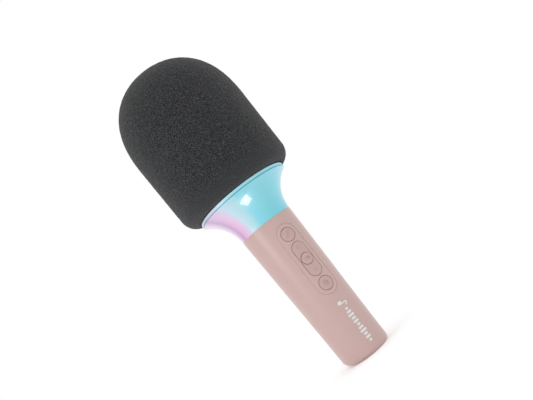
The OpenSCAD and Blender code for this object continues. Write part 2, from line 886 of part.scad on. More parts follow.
module speaker_wires() {
    color([0.8, 0.15, 0.12])
    for (i = [0, 1]) wire(concat(board_run(1, i), [
        [4.8 + i * wire_pitch, -7.2, neck_z],
        [4 + i * wire_pitch, -6.2, led_z - 0.6],
        [3.6 + i * wire_pitch, -7, under_cup_z - 0.5],
        [3.2 + i * wire_pitch, -9.3, cup_z + 0.6],
        [3 + i * wire_pitch, -12, cup_z + 2.4],
        [2.8 + i * 1.8, -terminal_r + 0.4, frame_z - 2.8],
        [2.8 + i * 1.8, -terminal_r + 0.4, frame_z - 0.8]
    ]), 2);
}

module microphone_wires() {
    color([0.85, 0.85, 0.85])
    for (i = [0, 1]) wire(concat(board_run(-1, i), [
        [-4.4 - i * wire_pitch, -6, neck_z],
        beside(6.4, led_z + 0.6, i),
        beside(9.4, under_cup_z, i),
        beside(14, under_cup_z + 0.1, i),
        beside(16.2, cup_z + 2.1, i),
        beside(18.9, cup_z + 6.6, i),
        beside(21.9, cup_z + 10.6, i),
        beside(24.2, deck_z - 1.4, i),
        beside(wire_hole_r, deck_z + 1, i),
        beside(wire_hole_r, deck_top + 4, i),
        beside(16, deck_top + 24, i),
        beside(8.4, stand_z - 4, i),
        beside(2.4, stand_z - 1.6, i),
        beside(0.6, stand_z + 0.2, i),
        beside(0.4, capsule_z, i)
    ]), 2);
}

module light_wires() {
    color([0.15, 0.15, 0.16])
    for (i = [-1 : 1]) wire([
        [i * wire_pitch, -pcb_back + wire_r, pcb_top - 1],
        [i * wire_pitch, -pcb_back + 0.7, pcb_top + 0.6],
        [i * wire_pitch, -pcb_back - 0.8, neck_z],
        [i * wire_pitch, -9.4, led_z - 0.5]
    ]);
}

module battery_wires() {
    color([0.8, 0.15, 0.12])
    for (s = [-1, 1]) wire([
        [s, cell_y - 6.6, cell_top + tab_t],
        [s, cell_y - 6.9, high_block_z + 1],
        [s, cell_y - 6.9, high_block_z + block_h],
        [s, -pcb_back + 1.2, high_block_z + block_h + 1.2],
        [s, -pcb_back, high_block_z + block_h + 1.6]
    ]);
}

foam_windscreen();
grille_basket();
grille_collar();
mic_capsule();
capsule_holder();
capsule_stand();
speaker_deck();
speaker_screws();
speaker_gasket();
speaker_frame();
speaker_surround();
speaker_cone();
dust_cap();
voice_coil();
speaker_magnet();
magnet_back_plate();
speaker_back_cup();
light_ring();
led_board();
ring_leds();
handle_shell();
button_panel();
effect_button();
effect_plunger();
volume_up_button();
volume_up_plunger();
play_button();
play_plunger();
volume_down_button();
volume_down_plunger();
power_button();
power_plunger();
button_switches();
main_board();
board_screws();
bluetooth_chip();
amplifier_chip();
charger_chip();
small_capacitors();
electrolytic_capacitors();
power_coil();
wire_sockets();
usb_port();
port_tongue();
battery_cell();
cell_tabs();
battery_cradle();
end_cap();
end_cap_screws();
speaker_wires();
microphone_wires();
light_wires();
battery_wires();
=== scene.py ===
# %% [markdown]
# # A toy karaoke microphone
# The object stands upright on its base: a tapered pink handle with a panel of push buttons, a flared ring
# that lights up, and a round foam windscreen that pulls off the wire grille under it. Its hard parts were
# drawn in a CAD program first. This lesson loads that model as a fixed frame, and then makes what CAD is
# poor at: soft foam, woven wire, rounded edges, raised symbols, print, and the finish of each surface.

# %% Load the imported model
import math

import bmesh
import bpy
from mathutils import Matrix, Vector


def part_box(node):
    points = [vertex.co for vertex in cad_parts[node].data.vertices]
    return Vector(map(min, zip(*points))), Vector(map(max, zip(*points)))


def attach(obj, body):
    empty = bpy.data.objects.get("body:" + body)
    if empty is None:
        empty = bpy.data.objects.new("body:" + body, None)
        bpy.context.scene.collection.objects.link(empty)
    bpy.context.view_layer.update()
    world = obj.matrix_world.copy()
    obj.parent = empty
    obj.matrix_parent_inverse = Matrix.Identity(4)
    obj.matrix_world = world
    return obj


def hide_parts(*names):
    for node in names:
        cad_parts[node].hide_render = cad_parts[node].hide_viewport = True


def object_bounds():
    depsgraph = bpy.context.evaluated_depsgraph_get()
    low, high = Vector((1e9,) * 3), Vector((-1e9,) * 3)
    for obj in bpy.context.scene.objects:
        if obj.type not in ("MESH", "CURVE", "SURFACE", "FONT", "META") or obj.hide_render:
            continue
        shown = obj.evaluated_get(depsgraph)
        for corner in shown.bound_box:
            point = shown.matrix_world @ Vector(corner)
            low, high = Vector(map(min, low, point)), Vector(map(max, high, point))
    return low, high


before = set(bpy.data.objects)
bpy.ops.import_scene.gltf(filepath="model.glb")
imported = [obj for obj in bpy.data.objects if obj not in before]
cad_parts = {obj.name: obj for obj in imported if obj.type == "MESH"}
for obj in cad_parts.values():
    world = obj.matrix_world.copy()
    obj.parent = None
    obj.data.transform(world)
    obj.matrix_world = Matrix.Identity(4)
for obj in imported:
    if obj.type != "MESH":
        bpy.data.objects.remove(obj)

cad_low, cad_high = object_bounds()
MM = 0.001
print("CAD box, mm:", [round(v / MM, 2) for v in (*cad_low, *cad_high)])

# %% [markdown]
# ## Measure before modelling
# A new piece has to fit the hard parts, so its sizes are read off them. The handle is a plain cone: two
# points on its slanted side are enough to know its radius at any height.

# %% Measure the CAD parts
shell_points = [(v.co.z, math.hypot(v.co.x, v.co.y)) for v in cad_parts["handle_shell"].data.vertices]
BASE_ZONE = 0.012
joint_z, joint_r = max(shell_points)
low_z, low_r = max((p for p in shell_points if p[0] < BASE_ZONE), key=lambda p: p[1])
foam_low, foam_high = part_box("foam_windscreen")
ring_low, ring_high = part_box("light_ring")
grille_low, grille_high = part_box("grille_basket")
panel_low, panel_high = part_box("button_panel")


def handle_radius(z):
    """Radius of the handle's side at a height, in metres."""
    return low_r + (joint_r - low_r) * (z - low_z) / (joint_z - low_z)


print(f"joint at {joint_z / MM:.1f} mm, radius {joint_r / MM:.2f} mm")
print(f"the rim's radius is {ring_high.x / MM:.2f} mm")

# %% [markdown]
# ## The camera
# The view is a close one, from a little below the middle of the microphone, and turned so that the head
# points up and to the left. A camera looks along its own -Z axis, so its three axes are worked out from the
# azimuth, the elevation and the roll, and written straight into its matrix.

# %% Place the camera
AZIMUTH, ELEVATION, ROLL = math.radians(-24), math.radians(-8), math.radians(38.9)
VIEW_DISTANCE = 0.370
AIM_SIDE, AIM_DROP = 9.8 * MM, 0.5 * MM
LENS, SENSOR = 40.77, 36.0
back = Vector((
    math.sin(AZIMUTH) * math.cos(ELEVATION),
    -math.cos(AZIMUTH) * math.cos(ELEVATION),
    math.sin(ELEVATION),
))
level = Vector((math.cos(AZIMUTH), math.sin(AZIMUTH), 0))
upright = back.cross(level)
aim = Vector((0, 0, (cad_low.z + cad_high.z) / 2 - AIM_DROP)) + level * AIM_SIDE
side = level * math.cos(ROLL) - upright * math.sin(ROLL)
up = upright * math.cos(ROLL) + level * math.sin(ROLL)

bpy.ops.object.camera_add()
camera = bpy.context.object
camera.name = "camera"
camera.data.lens = LENS
camera.data.sensor_width = SENSOR
camera_axes = Matrix((side, up, back)).transposed().to_4x4()
camera.matrix_world = Matrix.Translation(aim + back * VIEW_DISTANCE) @ camera_axes
camera.data.clip_start, camera.data.clip_end = 0.01, 20
bpy.context.scene.camera = camera
print("camera at", [round(v, 3) for v in camera.matrix_world.translation])

# %% [markdown]
# ## Floor and light
# The studio is white all round. A white floor and an even white sky melt into each other, and a large soft
# light from the left gives the round shapes their gentle shading.

# %% Make the floor, the sky and the lights
bpy.context.scene.view_settings.view_transform = "Standard"
FLOOR_SIZE = 6.0
bpy.ops.object.select_all(action="DESELECT")
bpy.ops.mesh.primitive_plane_add(size=FLOOR_SIZE)
floor = bpy.context.object
floor.name = "studio_floor"

sky = bpy.data.worlds.new("studio_sky")
bpy.context.scene.world = sky
sky.use_nodes = True
sky.node_tree.nodes["Background"].inputs["Color"].default_value = (1, 1, 1, 1)
sky.node_tree.nodes["Background"].inputs["Strength"].default_value = 1.0


def area_light(name, place, target, size, watts):
    """A square soft light at a place, turned to a target."""
    bpy.ops.object.light_add(type="AREA", location=place)
    light = bpy.context.object
    light.name = name
    light.rotation_euler = (Vector(target) - Vector(place)).to_track_quat("-Z", "Y").to_euler()
    light.data.size = size
    light.data.energy = watts
    return light


KEY_LEFT, KEY_FRONT, KEY_UP = 0.30, 0.29, 0.085
KEY_SIZE, KEY_WATTS = 0.18, 0.25
middle = Vector((0, 0, cad_high.z / 2))
key_place = middle - level * KEY_LEFT + back * KEY_FRONT + Vector((0, 0, KEY_UP))
area_light("key_light", key_place, middle, KEY_SIZE, KEY_WATTS)

# %% [markdown]
# ## Shared patterns
# Moulded plastic is never perfectly even: it has a fine grain, broad clouds of tone and a few scuffs.
# Brushed metal has fine lines in one direction. Each of these is a node group, made once and used with
# other numbers in every finish that needs it. The groups only give values that change over the surface.

# %% Node helpers and the two pattern groups
def srgb(red, green, blue):
    """A screen colour, 0 to 255, as the linear colour that shaders use."""
    def linear(value):
        value /= 255
        return value / 12.92 if value <= 0.04045 else ((value + 0.055) / 1.055) ** 2.4
    return linear(red), linear(green), linear(blue), 1.0


def shade(colour, factor):
    """A colour made darker or lighter."""
    return *(min(1.0, channel * factor) for channel in colour[:3]), 1.0


def add_node(tree, kind, **inputs):
    """Adds a node and sets its inputs. An underscore in a name stands for a space."""
    node = tree.nodes.new(kind)
    for name, value in inputs.items():
        node.inputs[name.replace("_", " ")].default_value = value
    return node


def pattern_group(name, outputs):
    """An empty node group with a Scale input, fed by Object coordinates, and float outputs."""
    group = bpy.data.node_groups.new(name, "ShaderNodeTree")
    group.interface.new_socket("Scale", in_out="INPUT", socket_type="NodeSocketFloat")
    for output in outputs:
        group.interface.new_socket(output, in_out="OUTPUT", socket_type="NodeSocketFloat")
    entry = group.nodes.new("NodeGroupInput")
    leave = group.nodes.new("NodeGroupOutput")
    place = group.nodes.new("ShaderNodeTexCoord")
    return group, entry, leave, place


def scaled_noise(group, entry, vector, factor, **inputs):
    """A noise whose scale is the group's Scale times a factor."""
    times = add_node(group, "ShaderNodeMath")
    times.operation = "MULTIPLY"
    times.inputs[1].default_value = factor
    noise = add_node(group, "ShaderNodeTexNoise", **inputs)
    group.links.new(entry.outputs["Scale"], times.inputs[0])
    group.links.new(times.outputs[0], noise.inputs["Scale"])
    group.links.new(vector, noise.inputs["Vector"])
    return noise


moulded, entry, leave, place = pattern_group("moulded_grain", ("Grain", "Tone", "Scuffs"))
grain = scaled_noise(moulded, entry, place.outputs["Object"], 1.0, Detail=3.0, Roughness=0.6)
tone = scaled_noise(moulded, entry, place.outputs["Object"], 0.02, Detail=2.0)
scuff = scaled_noise(
    moulded, entry, place.outputs["Object"], 0.12, Detail=6.0, Roughness=0.75, Distortion=1.5,
)
threshold = add_node(moulded, "ShaderNodeMapRange", From_Min=0.62, From_Max=0.75)
moulded.links.new(grain.outputs["Fac"], leave.inputs["Grain"])
moulded.links.new(tone.outputs["Fac"], leave.inputs["Tone"])
moulded.links.new(scuff.outputs["Fac"], threshold.inputs["Value"])
moulded.links.new(threshold.outputs["Result"], leave.inputs["Scuffs"])

brushed, entry, leave, place = pattern_group("brushed_lines", ("Lines", "Tone"))
stretch = add_node(brushed, "ShaderNodeMapping")
stretch.inputs["Scale"].default_value = (1, 1, 0.04)
brushed.links.new(place.outputs["Object"], stretch.inputs["Vector"])
lines = scaled_noise(brushed, entry, stretch.outputs["Vector"], 1.0, Detail=2.0)
blotch = scaled_noise(brushed, entry, place.outputs["Object"], 0.05, Detail=3.0)
brushed.links.new(lines.outputs["Fac"], leave.inputs["Lines"])
brushed.links.new(blotch.outputs["Fac"], leave.inputs["Tone"])
print("pattern groups:", [g.name for g in bpy.data.node_groups])

# %% [markdown]
# ## Finishes from the patterns
# A finish is a Principled shader with a group in front of it. The tone runs between two colours, the scuffs
# raise the roughness, and the grain feeds a Bump node. Numbers that are the same all over, such as the
# coat's weight, are set on the shader itself.

# %% Plastic and metal finishes
SCUFF_ROUGHNESS = 0.12


def new_finish(name, **settings):
    """A material with one Principled shader, and the shader's plain numbers."""
    finish = bpy.data.materials.new(name)
    finish.use_nodes = True
    shader = finish.node_tree.nodes["Principled BSDF"]
    for setting, value in settings.items():
        shader.inputs[setting.replace("_", " ")].default_value = value
    return finish, finish.node_tree, shader


def use_group(tree, group, scale):
    node = tree.nodes.new("ShaderNodeGroup")
    node.node_tree = group
    node.inputs["Scale"].default_value = scale
    return node


def blend_colours(tree, factor, first, second):
    """A Mix node between two colours; gives its colour output."""
    mix = tree.nodes.new("ShaderNodeMix")
    mix.data_type = "RGBA"
    mix.inputs["A"].default_value = first
    mix.inputs["B"].default_value = second
    tree.links.new(factor, mix.inputs["Factor"])
    return mix.outputs["Result"]


def span(tree, value, low, high):
    """Stretches a 0 to 1 value to run from low to high."""
    node = add_node(tree, "ShaderNodeMapRange", To_Min=low, To_Max=high)
    tree.links.new(value, node.inputs["Value"])
    return node.outputs["Result"]


def bump(tree, shader, height, depth, strength=1.0):
    node = add_node(tree, "ShaderNodeBump", Strength=strength, Distance=depth)
    tree.links.new(height, node.inputs["Height"])
    tree.links.new(node.outputs["Normal"], shader.inputs["Normal"])


def plastic(name, colour, roughness, grain_scale=4000, grain_depth=0.02 * MM, variety=0.06, **settings):
    """Moulded plastic, rubber or card: grain, clouds of tone and a few rougher scuffs."""
    finish, tree, shader = new_finish(name, **settings)
    pattern = use_group(tree, moulded, grain_scale)
    darker, lighter = shade(colour, 1 - variety), shade(colour, 1 + variety)
    cloud = blend_colours(tree, pattern.outputs["Tone"], darker, lighter)
    worn = span(tree, pattern.outputs["Scuffs"], roughness, min(1, roughness + SCUFF_ROUGHNESS))
    tree.links.new(cloud, shader.inputs["Base Color"])
    tree.links.new(worn, shader.inputs["Roughness"])
    bump(tree, shader, pattern.outputs["Grain"], grain_depth)
    return finish


def metal(name, colour, roughness, line_scale=3000, line_depth=0.004 * MM):
    """Brushed or drawn metal: fine lines and a slightly uneven shine."""
    finish, tree, shader = new_finish(name, Metallic=1.0)
    pattern = use_group(tree, brushed, line_scale)
    cloud = blend_colours(tree, pattern.outputs["Tone"], shade(colour, 0.85), shade(colour, 1.1))
    tree.links.new(cloud, shader.inputs["Base Color"])
    uneven = span(tree, pattern.outputs["Lines"], roughness * 0.7, roughness * 1.3)
    tree.links.new(uneven, shader.inputs["Roughness"])
    bump(tree, shader, pattern.outputs["Lines"], line_depth)
    return finish


PINK = srgb(187, 157, 152)
soft_pink = plastic(
    "soft_touch_pink", PINK, 0.3, grain_depth=0.012 * MM, variety=0.02, Specular_IOR_Level=0.65,
)
key_pink = plastic("key_pink", shade(PINK, 0.97), 0.34, grain_depth=0.012 * MM, variety=0.02)
print("first finishes:", [soft_pink.name, key_pink.name])

# %% [markdown]
# ## How a floor gets its white
# The floor is a plain pale sheet. It is bright enough to fade into the sky at the back.

# %% Finish the floor
floor_paper = plastic("floor_paper", (0.93, 0.93, 0.93, 1), 0.9, grain_scale=300, variety=0.01,
                      Emission_Color=(1, 1, 1, 1), Emission_Strength=0.15)
floor.data.materials.append(floor_paper)

# %% [markdown]
# ## Modelling helpers: one point, extruded along a profile
# Round things are turned, as on a lathe. The maker starts with one point on the profile, extrudes it from
# corner to corner, and spins the line round the axis. That needs no drawing outside Blender, and each
# corner is a number that can be changed.

# %% Lathe helpers
WELD = 1e-6


def edit(piece):
    """Selects one piece alone and opens it in edit mode with all of it selected."""
    if bpy.context.object and bpy.context.object.mode != "OBJECT":
        bpy.ops.object.mode_set(mode="OBJECT")
    bpy.ops.object.select_all(action="DESELECT")
    bpy.context.view_layer.objects.active = piece
    piece.select_set(True)
    bpy.ops.object.mode_set(mode="EDIT")
    bpy.ops.mesh.select_all(action="SELECT")


def leave_edit():
    bpy.ops.object.mode_set(mode="OBJECT")


def turned(name, profile, steps):
    """A lathe-turned solid from a closed profile of (radius, height) points in metres."""
    bpy.ops.object.select_all(action="DESELECT")
    bpy.ops.mesh.primitive_plane_add(size=MM, location=(profile[0][0], 0, profile[0][1]))
    piece = bpy.context.object
    piece.name = piece.data.name = name
    bpy.ops.object.transform_apply(location=True)
    bpy.ops.object.mode_set(mode="EDIT")
    bpy.ops.mesh.select_all(action="SELECT")
    bpy.ops.mesh.merge(type="CENTER")
    for (r0, z0), (r1, z1) in zip(profile, profile[1:] + profile[:1]):
        bpy.ops.mesh.extrude_region_move(TRANSFORM_OT_translate={"value": (r1 - r0, 0, z1 - z0)})
    bpy.ops.mesh.select_all(action="SELECT")
    bpy.ops.mesh.spin(steps=steps, angle=2 * math.pi, center=(0, 0, 0), axis=(0, 0, 1))
    bpy.ops.mesh.select_all(action="SELECT")
    bpy.ops.mesh.remove_doubles(threshold=WELD)
    bpy.ops.mesh.normals_make_consistent(inside=False)
    leave_edit()
    return piece


def smooth(piece, angle=30):
    """Smooth shading, with every edge sharper than the angle kept crisp."""
    bpy.ops.object.select_all(action="DESELECT")
    bpy.context.view_layer.objects.active = piece
    piece.select_set(True)
    bpy.ops.object.shade_smooth_by_angle(angle=math.radians(angle))


def dress(piece, finish, body, slot, *nodes):
    """Gives a finished piece its material and the body it moves with, and hides the CAD nodes it stands
    for.
    """
    piece.data.materials.clear()
    piece.data.materials.append(finish)
    if nodes:
        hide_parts(*nodes)
    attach(piece, body)
    print(f"{piece.name}: {len(piece.data.polygons)} faces, rides on {body}")


def round_corner(cx, cz, radius, start, end, steps=8):
    """Points on an arc in the profile's plane, from one angle to another, in degrees."""
    turns = [math.radians(start + (end - start) * i / steps) for i in range(steps + 1)]
    return [(cx + radius * math.cos(a), cz + radius * math.sin(a)) for a in turns]


def dome_line(radius, rise, foot, power, steps):
    """A quarter of a rounded dome, from its foot up to the axis."""
    turns = [math.pi / 2 * i / steps for i in range(steps + 1)]
    return [
        (radius * max(0.0, math.cos(a)) ** (2 / power), foot + rise * math.sin(a) ** (2 / power))
        for a in turns
    ]


# %% [markdown]
# ## The foam windscreen
# The real one is a thick sock of open-cell foam: a tall rounded dome with slightly drafted sides, whose
# lower edge rolls in under itself and covers the top of the ring. A sphere would be too round and a
# cylinder too square, so its dome is a superellipse. The surface needs real unevenness, since foam shows it
# at its outline: a fine mesh is pushed in and out by a cloud texture, and the cells come from the material.

# %% Turn the foam and roughen it
FOAM_DOME, FOAM_POWER = 46 * MM, 2.35
FOAM_ROLL = 9 * MM
FOAM_DRAFT = 1.1 * MM
FOAM_SHRINK = 0.15 * MM
FOAM_MOUTH, FOAM_GAP = 1.2 * MM, 0.4 * MM
FOAM_STEPS, SIDE_STEPS = 300, 40
foam_r = foam_high.x - FOAM_SHRINK
foam_top = foam_high.z - FOAM_SHRINK
foam_foot = foam_high.z - FOAM_DOME
bore_r = grille_high.x + FOAM_GAP
bore_dome = grille_high.z + FOAM_GAP - foam_foot
roll = round_corner(0, 0, 1, -90, 0, 14)
roll_top = foam_low.z + FOAM_ROLL
foam_side = [
    (foam_r - FOAM_DRAFT * (1 - k / SIDE_STEPS), roll_top + (foam_foot - roll_top) * k / SIDE_STEPS)
    for k in range(1, SIDE_STEPS)
]
foam_profile = (
    [(bore_r, foam_low.z + FOAM_MOUTH)]
    + [(bore_r + (foam_r - FOAM_DRAFT - bore_r) * x, foam_low.z + FOAM_ROLL * (1 + y)) for x, y in roll]
    + foam_side
    + dome_line(foam_r, foam_top - foam_foot, foam_foot, FOAM_POWER, 72)
    + dome_line(bore_r, bore_dome, foam_foot, FOAM_POWER, 24)[::-1]
)
foam = turned("foam_sock", foam_profile, FOAM_STEPS)
print("foam faces before shaping:", len(foam.data.polygons))

# %% [markdown]
# A cloud texture pushes each point of the mesh in or out by a fraction of a millimetre. The finish then
# adds the cells: two sizes of noise set how dark the surface is and how deep its pores are, and a little
# sheen gives the soft light edge that foam and cloth have. Towards the hem above the ring, the cells fade
# into an even grey.

# %% Roughen the foam and give it its cells
FOAM_LUMP, FOAM_DEPTH = 1.3 * MM, 0.4 * MM
HEM_START, HEM_END, HEM_BLEND = 6 * MM, 15 * MM, 0.6


def displace(piece, name, size, depth):
    """Pushes a piece's points in and out by a cloud texture, and applies it."""
    clouds = bpy.data.textures.new(name, type="CLOUDS")
    clouds.noise_scale = size
    lumps = piece.modifiers.new(name, "DISPLACE")
    lumps.texture = clouds
    lumps.texture_coords = "LOCAL"
    lumps.strength = depth
    bpy.context.view_layer.objects.active = piece
    bpy.ops.object.modifier_apply(modifier=lumps.name)


displace(foam, "foam_lumps", FOAM_LUMP, FOAM_DEPTH)
smooth(foam, 180)
foam_cells, tree, shader = new_finish("foam_cells", Roughness=0.95, Sheen_Weight=0.09, Sheen_Roughness=0.4)
place = tree.nodes.new("ShaderNodeTexCoord")
cells = add_node(tree, "ShaderNodeTexNoise", Scale=1800.0, Detail=2.0, Roughness=0.6)
pores = add_node(tree, "ShaderNodeTexVoronoi", Scale=2000.0)
tree.links.new(place.outputs["Object"], cells.inputs["Vector"])
tree.links.new(place.outputs["Object"], pores.inputs["Vector"])
contrast = add_node(tree, "ShaderNodeMapRange", From_Min=0.45, From_Max=0.66)
tree.links.new(cells.outputs["Fac"], contrast.inputs["Value"])
foam_colour = blend_colours(tree, contrast.outputs["Result"], srgb(5, 6, 9), srgb(70, 71, 73))
foam_split = tree.nodes.new("ShaderNodeSeparateXYZ")
tree.links.new(place.outputs["Object"], foam_split.inputs["Vector"])
hem = add_node(tree, "ShaderNodeMapRange", To_Min=HEM_BLEND, To_Max=0.0)
hem.inputs["From Min"].default_value = foam_low.z + HEM_START
hem.inputs["From Max"].default_value = foam_low.z + HEM_END
tree.links.new(foam_split.outputs["Z"], hem.inputs["Value"])
hem_colour = tree.nodes.new("ShaderNodeMix")
hem_colour.data_type = "RGBA"
hem_colour.inputs["B"].default_value = srgb(46, 47, 50)
tree.links.new(foam_colour, hem_colour.inputs["A"])
tree.links.new(hem.outputs["Result"], hem_colour.inputs["Factor"])
tree.links.new(hem_colour.outputs["Result"], shader.inputs["Base Color"])
depth = tree.nodes.new("ShaderNodeMath")
depth.operation = "ADD"
tree.links.new(cells.outputs["Fac"], depth.inputs[0])
tree.links.new(pores.outputs["Distance"], depth.inputs[1])
bump(tree, shader, depth.outputs[0], 0.35 * MM, 0.8)
dress(foam, foam_cells, "windscreen", "foam", "foam_windscreen")

# %% [markdown]
# ## The light ring
# The ring is one glossy flared part: it rises from the handle on a single arc, like a trumpet's bell, and
# ends in an upright rim with a fine groove under it. The arc's centre follows from its two ends, so the
# profile needs no drawing. The groove is real geometry, because it has to show as a dark line from every
# side.

# %% Turn the light ring
RIM_BAND, RING_WALL, RIM_ROUND = 2.4 * MM, 2 * MM, 0.45 * MM
RIM_WALL, SHELF_DROP, INNER_LIP = 1.85 * MM, 3 * MM, 4.2 * MM
GROOVE_DEPTH, GROOVE_WIDTH = 0.35 * MM, 0.4 * MM
SPIGOT_INSET, SPIGOT_WALL, SEAT_GAP = 1.95 * MM, 1.5 * MM, 0.02 * MM
FLARE_STEPS, INNER_STEPS = 40, 20
rim_r, rim_z = ring_high.x, ring_high.z
flare_top = rim_z - RIM_BAND
rise, run = flare_top - joint_z, rim_r - joint_r
flare_r = (rise * rise + run * run) / (2 * run)
flare_cx = joint_r + flare_r


def flare(z, wall=0.0):
    """Radius of the flare at a height; wall moves the line inwards."""
    return flare_cx - math.sqrt((flare_r + wall) ** 2 - (z - joint_z) ** 2)


outer_heights = [joint_z + rise * k / FLARE_STEPS for k in range(1, FLARE_STEPS + 1)]
outer_flare = [(flare(z), z) for z in outer_heights]
spigot_r = handle_radius(joint_z) - SPIGOT_INSET
shelf_z = rim_z - SHELF_DROP
inner_drop = shelf_z - joint_z - INNER_LIP
inner_heights = [shelf_z - inner_drop * k / INNER_STEPS for k in range(INNER_STEPS + 1)]
inner_flare = [(flare(z, RING_WALL), z) for z in inner_heights]
rim_bore = rim_r - RIM_WALL
spigot_bore = spigot_r - SPIGOT_WALL
seat_z = joint_z - SEAT_GAP
ring_profile = (
    [(spigot_bore, ring_low.z), (spigot_r, ring_low.z), (spigot_r, seat_z), (joint_r - 0.25 * MM, seat_z)]
    + [(joint_r - 0.06 * MM, joint_z + 0.06 * MM)]
    + outer_flare[:-1]
    + [(rim_r - 0.15 * MM, flare_top), (rim_r - GROOVE_DEPTH, flare_top + 0.05 * MM)]
    + [(rim_r - GROOVE_DEPTH, flare_top + GROOVE_WIDTH), (rim_r, flare_top + GROOVE_WIDTH + 0.08 * MM)]
    + round_corner(rim_r - RIM_ROUND, rim_z - RIM_ROUND, RIM_ROUND, 0, 90, 5)
    + [(rim_bore, rim_z), (rim_bore, shelf_z)]
    + inner_flare
    + [(spigot_bore, joint_z + INNER_LIP)]
)
ring = turned("glossy_ring", ring_profile, 180)
smooth(ring, 40)

# %% [markdown]
# ## A colour that turns with the ring
# The ring's pearly plastic runs from lilac to light blue. Some of the ramp's stops are painted reflection:
# the sharp edge where pale teal meets cyan and the deep lilac streak are painted in for lamps mirrored in
# the gloss.
# The finish reads the angle round the axis, from the arctangent of the Object coordinates, and a colour
# ramp turns it into colour. A slow noise shifts the angle a little, so the zones have soft, uneven borders.
# Masks by height then make the flare paler towards its top, paint shade into the groove as a deep blue, and
# paint light into the rim as a paler colour.

# %% The ring's pearly finish
def angle_ramp(tree, turn, wander, stops):
    """A colour by the angle round Z. turn puts the ramp's middle, and a stop is (place in it, colour)."""
    place = tree.nodes.new("ShaderNodeTexCoord")
    turned_place = add_node(tree, "ShaderNodeMapping", Rotation=(0, 0, turn))
    split = tree.nodes.new("ShaderNodeSeparateXYZ")
    angle = tree.nodes.new("ShaderNodeMath")
    angle.operation = "ARCTAN2"
    around = add_node(tree, "ShaderNodeMapRange", From_Min=-math.pi, From_Max=math.pi)
    tree.links.new(place.outputs["Object"], turned_place.inputs["Vector"])
    tree.links.new(turned_place.outputs["Vector"], split.inputs["Vector"])
    tree.links.new(split.outputs["X"], angle.inputs[0])
    tree.links.new(split.outputs["Y"], angle.inputs[1])
    tree.links.new(angle.outputs[0], around.inputs["Value"])
    drift = add_node(tree, "ShaderNodeTexNoise", Scale=45.0, Detail=1.0)
    tree.links.new(place.outputs["Object"], drift.inputs["Vector"])
    shift = tree.nodes.new("ShaderNodeMath")
    shift.operation = "MULTIPLY_ADD"
    tree.links.new(drift.outputs["Fac"], shift.inputs[0])
    shift.inputs[1].default_value = wander
    tree.links.new(around.outputs["Result"], shift.inputs[2])
    ramp = tree.nodes.new("ShaderNodeValToRGB")
    tree.links.new(shift.outputs[0], ramp.inputs["Fac"])
    while len(ramp.color_ramp.elements) < len(stops):
        ramp.color_ramp.elements.new(0.5)
    for element, (where, colour) in zip(ramp.color_ramp.elements, sorted(stops, key=lambda stop: stop[0])):
        element.position = where
        element.color = colour
    return ramp.outputs["Color"], split.outputs["Z"]


def by_angle(degrees):
    """The ramp's place of an angle, which is 0 a little left of the buttons and grows to the right."""
    return 0.5 - degrees / 360


pearl, tree, shader = new_finish(
    "pearl_ring", Roughness=0.3, Specular_IOR_Level=0.3, Coat_Weight=0.5, Coat_Roughness=0.04,
)
LILAC, DEEP_LILAC, ROSE = srgb(216, 182, 212), srgb(180, 140, 184), srgb(212, 168, 204)
PALE_BLUE, PALE_TEAL = srgb(182, 208, 224), srgb(152, 204, 212)
CYAN, TEAL, LIGHT_CYAN = srgb(124, 202, 220), srgb(112, 196, 208), srgb(118, 196, 214)
# Painted reflection: the pale teal to cyan edge and the deep lilac streak stand for lamps mirrored in the
# gloss; the other stops are the ring's own colour.
pearl_and_reflection_colour, ring_height = angle_ramp(tree, math.pi - AZIMUTH, 0.02, [
    (by_angle(-180), ROSE), (by_angle(-120), LILAC), (by_angle(-76), LILAC), (by_angle(-60), DEEP_LILAC),
    (by_angle(-50), ROSE), (by_angle(-40), LILAC), (by_angle(-30), PALE_BLUE), (by_angle(-13), PALE_TEAL),
    (by_angle(-8), CYAN), (by_angle(25), TEAL), (by_angle(70), CYAN), (by_angle(90), LIGHT_CYAN),
    (by_angle(140), PALE_BLUE), (by_angle(180), ROSE),
])


def above(tree, height, start, end, most):
    """A mask that rises from 0 to most between two heights."""
    zone = add_node(tree, "ShaderNodeMapRange", From_Min=start, From_Max=end, To_Max=most)
    tree.links.new(height, zone.inputs["Value"])
    return zone.outputs["Result"]


def tinted(tree, colour, factor, tint):
    """Mixes a tint, fixed or from a node, into a colour that comes from another node."""
    mix = tree.nodes.new("ShaderNodeMix")
    mix.data_type = "RGBA"
    if isinstance(tint, bpy.types.NodeSocket):
        tree.links.new(tint, mix.inputs["B"])
    else:
        mix.inputs["B"].default_value = tint
    tree.links.new(colour, mix.inputs["A"])
    tree.links.new(factor, mix.inputs["Factor"])
    return mix.outputs["Result"]


groove_top = flare_top + GROOVE_WIDTH
up_flare = above(tree, ring_height, joint_z, flare_top, 0.15)
# Painted shade: the groove's recess is painted a deep blue, darker than the flare round it.
groove_painted_shade = above(tree, ring_height, flare_top - 0.15 * MM, flare_top, 0.85)
# Painted light: the rim is painted paler to make up for the shade it gets under the foam and the dark foam
# it mirrors.
painted_rim_light = above(tree, ring_height, groove_top, groove_top + MM, 0.6)
on_rim = above(tree, ring_height, groove_top, groove_top + 0.1 * MM, 1)
paler_top = tinted(tree, pearl_and_reflection_colour, up_flare, srgb(190, 226, 234))
with_groove_painted_shade = tinted(tree, paler_top, groove_painted_shade, srgb(50, 150, 180))
rim_colour_with_painted_light = tinted(tree, pearl_and_reflection_colour, painted_rim_light, srgb(196, 244, 250))
with_rim = tinted(tree, with_groove_painted_shade, on_rim, rim_colour_with_painted_light)
tree.links.new(with_rim, shader.inputs["Base Color"])
dress(ring, pearl, "microphone", "light_ring", "light_ring")

# %% [markdown]
# A glossy part is told by the lamp it mirrors. A square lamp near the floor, a little in front of the
# handle, shows up in the flare as one clear white patch. It is linked to the ring alone and gives no
# diffuse light, so it changes nothing else.

